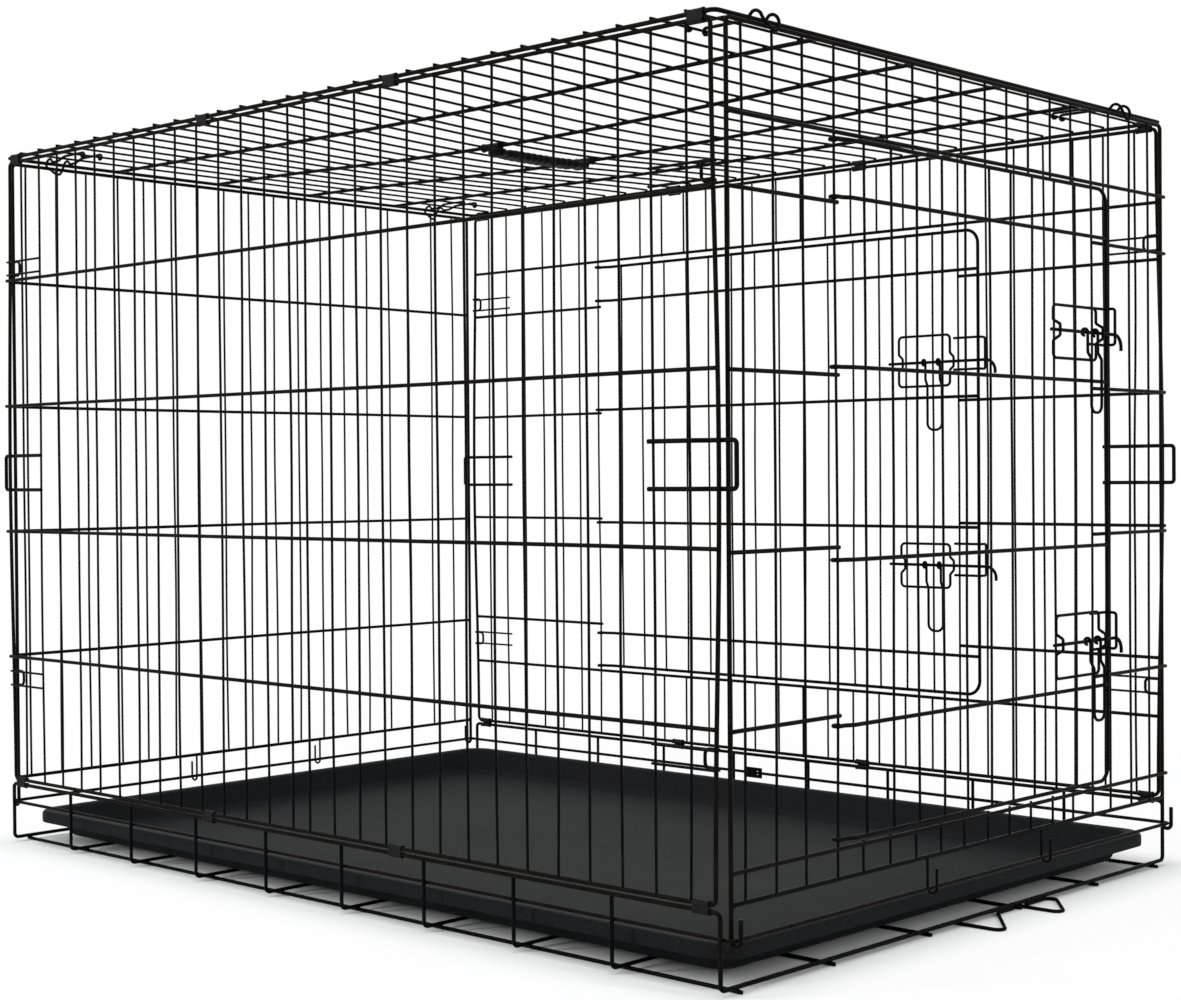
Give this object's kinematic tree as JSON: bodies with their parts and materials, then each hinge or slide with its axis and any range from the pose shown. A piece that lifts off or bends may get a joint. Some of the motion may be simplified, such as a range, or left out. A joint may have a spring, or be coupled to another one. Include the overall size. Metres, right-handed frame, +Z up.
{
  "type": "folding wire dog crate",
  "caption": "Folding wire dog crate with a hinged end door, a hinged side door, sliding bolt latches, a top carry handle and a slide-out floor pan",
  "frame": {"origin": "centre of the outline, on the ground", "axes": "+X is the crate's length, towards the end with the door; +Y is its width, towards the side with the door; +Z up"},
  "size_m": [1.1249, 0.7688, 0.8016],
  "materials": {
    "wire": "satin black powder coat",
    "latch": "satin black powder coat, slightly worn",
    "clip": "black coated folded sheet steel",
    "pan": "pebbled black moulded plastic",
    "handle": "moulded black plastic"
  },
  "bodies": {
    "floor": {"floor_rim": "wire", "floor_ledge": "wire", "floor_cross_wires": "wire", "floor_runners": "wire", "floor_front_loops": "wire", "pan_stop": "wire"},
    "pan": {"pan": "pan"},
    "near_side": {"near_border": "wire", "near_uprights": "wire", "near_rails": "wire", "near_braces": "wire", "near_c_loops": "wire", "near_stops": "wire", "near_bottom_clips": "clip", "near_top_clips": "clip"},
    "far_side": {"far_border": "wire", "far_uprights": "wire", "far_rails": "wire", "far_braces": "wire", "far_c_loops": "wire", "far_stops": "wire", "far_bottom_clips": "clip", "far_top_clips": "clip", "far_staples": "latch"},
    "top": {"top_border": "wire", "top_cross_wires": "wire", "top_long_wires": "wire", "handle_strap": "handle", "handle_grips": "handle"},
    "front_end": {"front_border": "wire", "front_foot": "wire", "front_hooks": "wire", "front_uprights": "wire", "front_rails": "wire", "front_staples": "latch"},
    "rear_end": {"rear_border": "wire", "rear_foot": "wire", "rear_hooks": "wire", "rear_uprights": "wire", "rear_rails": "wire"},
    "front_door": {"front_door_frame": "wire", "front_door_rails": "wire", "front_door_uprights": "wire", "front_door_keepers": "latch"},
    "side_door": {"side_door_frame": "wire", "side_door_rails": "wire", "side_door_uprights": "wire", "side_door_keepers": "latch"},
    "front_upper_bolt": {"front_upper_bolt": "latch"},
    "front_upper_bolt_loop": {"front_upper_bolt_loop": "latch"},
    "front_lower_bolt": {"front_lower_bolt": "latch"},
    "front_lower_bolt_loop": {"front_lower_bolt_loop": "latch"},
    "side_upper_bolt": {"side_upper_bolt": "latch"},
    "side_upper_bolt_loop": {"side_upper_bolt_loop": "latch"},
    "side_lower_bolt": {"side_lower_bolt": "latch"},
    "side_lower_bolt_loop": {"side_lower_bolt_loop": "latch"},
    "top_hook_front_near": {"top_hook_front_near": "wire"},
    "top_hook_front_far": {"top_hook_front_far": "wire"},
    "top_hook_rear_near": {"top_hook_rear_near": "wire"},
    "top_hook_rear_far": {"top_hook_rear_far": "wire"}
  },
  "joints": [
    {"name": "frame_fold", "type": "hinge", "parent": "floor", "child": "near_side", "pos_m": [-0.01222, -0.37849, 0.06845], "axis": [-1, 0, 0], "range_deg": [0, 85.38]},
    {"name": "far_side_fold", "type": "hinge", "parent": "floor", "child": "far_side", "pos_m": [-0.01222, 0.36351, 0.06845], "axis": [-1, 0, 0], "range_deg": [0, 85.38]},
    {"name": "top_fold", "type": "hinge", "parent": "near_side", "child": "top", "pos_m": [-0.01222, -0.37849, 0.79345], "axis": [1, 0, 0], "range_deg": [0, 85.38]},
    {"name": "front_end_fold", "type": "hinge", "parent": "floor", "child": "front_end", "pos_m": [0.52878, -0.00749, 0.04645], "axis": [0, -1, 0], "range_deg": [0, 88.5]},
    {"name": "rear_end_fold", "type": "hinge", "parent": "floor", "child": "rear_end", "pos_m": [-0.55322, -0.00749, 0.04645], "axis": [0, 1, 0], "range_deg": [0, 90]},
    {"name": "front_door_swing", "type": "hinge", "parent": "front_end", "child": "front_door", "pos_m": [0.52458, -0.22649, 0.40445], "axis": [0, 0, 1], "range_deg": [-135, 0]},
    {"name": "side_door_swing", "type": "hinge", "parent": "far_side", "child": "side_door", "pos_m": [-0.30122, 0.36431, 0.43445], "axis": [0, 0, -1], "range_deg": [-135, 0]},
    {"name": "front_upper_bolt_slide", "type": "slide", "parent": "front_door", "child": "front_upper_bolt", "axis": [0, 1, 0], "range_m": [-0.01, 0]},
    {"name": "front_upper_bolt_loop_lift", "type": "hinge", "parent": "front_upper_bolt", "child": "front_upper_bolt_loop", "pos_m": [0.53583, 0.18451, 0.56045], "axis": [0, 1, 0], "range_deg": [-100, 0]},
    {"name": "front_lower_bolt_slide", "type": "slide", "parent": "front_door", "child": "front_lower_bolt", "axis": [0, 1, 0], "range_m": [-0.01, 0]},
    {"name": "front_lower_bolt_loop_lift", "type": "hinge", "parent": "front_lower_bolt", "child": "front_lower_bolt_loop", "pos_m": [0.53583, 0.18751, 0.25245], "axis": [0, 1, 0], "range_deg": [-100, 0]},
    {"name": "side_upper_bolt_slide", "type": "slide", "parent": "side_door", "child": "side_upper_bolt", "axis": [1, 0, 0], "range_m": [-0.01, 0]},
    {"name": "side_upper_bolt_loop_lift", "type": "hinge", "parent": "side_upper_bolt", "child": "side_upper_bolt_loop", "pos_m": [0.22078, 0.37556, 0.55145], "axis": [-1, 0, 0], "range_deg": [-100, 0]},
    {"name": "side_lower_bolt_slide", "type": "slide", "parent": "side_door", "child": "side_lower_bolt", "axis": [1, 0, 0], "range_m": [-0.01, 0]},
    {"name": "side_lower_bolt_loop_lift", "type": "hinge", "parent": "side_lower_bolt", "child": "side_lower_bolt_loop", "pos_m": [0.22078, 0.37556, 0.31345], "axis": [-1, 0, 0], "range_deg": [-100, 0]},
    {"name": "top_hook_front_near_lift", "type": "hinge", "parent": "top", "child": "top_hook_front_near", "pos_m": [0.45208, -0.32349, 0.79655], "axis": [0, 1, 0], "range_deg": [-45, 0]},
    {"name": "top_hook_front_far_lift", "type": "hinge", "parent": "top", "child": "top_hook_front_far", "pos_m": [0.45208, 0.27251, 0.79655], "axis": [0, 1, 0], "range_deg": [-45, 0]},
    {"name": "top_hook_rear_near_lift", "type": "hinge", "parent": "top", "child": "top_hook_rear_near", "pos_m": [-0.47652, -0.30749, 0.79655], "axis": [0, -1, 0], "range_deg": [-45, 0]},
    {"name": "top_hook_rear_far_lift", "type": "hinge", "parent": "top", "child": "top_hook_rear_far", "pos_m": [-0.47652, 0.29251, 0.79655], "axis": [0, -1, 0], "range_deg": [-45, 0]},
    {"name": "pan_slide", "type": "slide", "parent": "floor", "child": "pan", "axis": [-1, 0, 0], "range_m": [-1.1, 0]}
  ],
  "couplings": [
    {"joint": "far_side_fold", "follows": "frame_fold", "ratio": 1},
    {"joint": "top_fold", "follows": "frame_fold", "ratio": 1}
  ]
}
